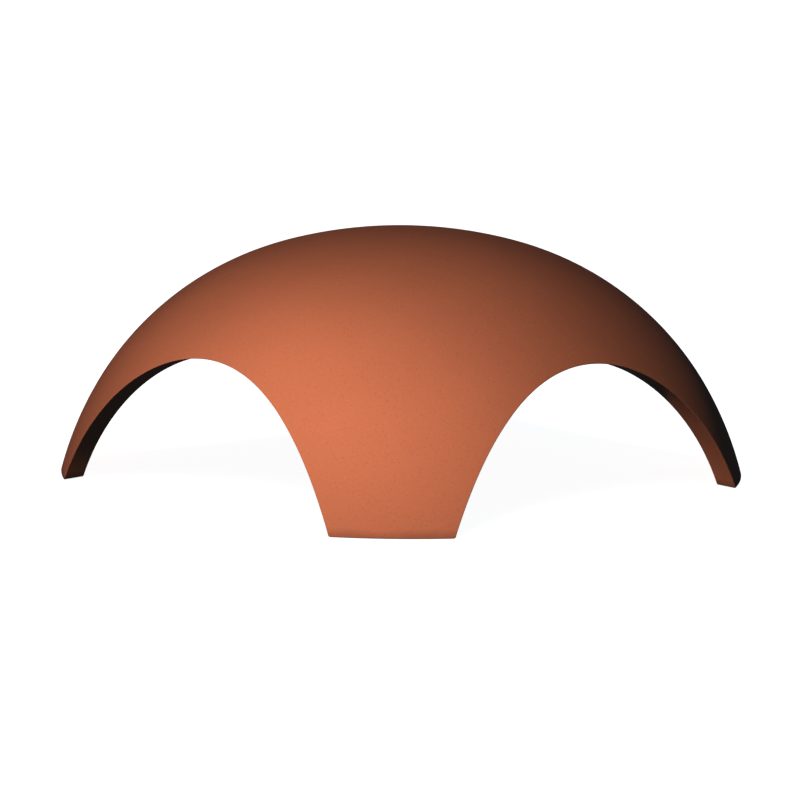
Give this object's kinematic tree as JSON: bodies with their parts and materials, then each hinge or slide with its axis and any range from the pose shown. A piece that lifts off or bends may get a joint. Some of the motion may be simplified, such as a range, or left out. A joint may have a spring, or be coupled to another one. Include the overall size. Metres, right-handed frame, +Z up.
{
  "type": "four-way ridge cap",
  "caption": "Domed clay roof cap on splayed legs; the arches between the legs straddle the ridge or hip tiles that meet at a point.",
  "frame": {"origin": "on the plane that the feet stand on, straight under the middle of the crown", "axes": "+Z up through the crown; the arches face +X, -X, +Y and -Y, with -Y as the front, and the legs stand on the diagonals between them"},
  "size_m": [0.3626, 0.3626, 0.158],
  "materials": {
    "terracotta": "matte"
  },
  "bodies": {
    "root": {"ridge_cap": "terracotta"}
  },
  "joints": []
}
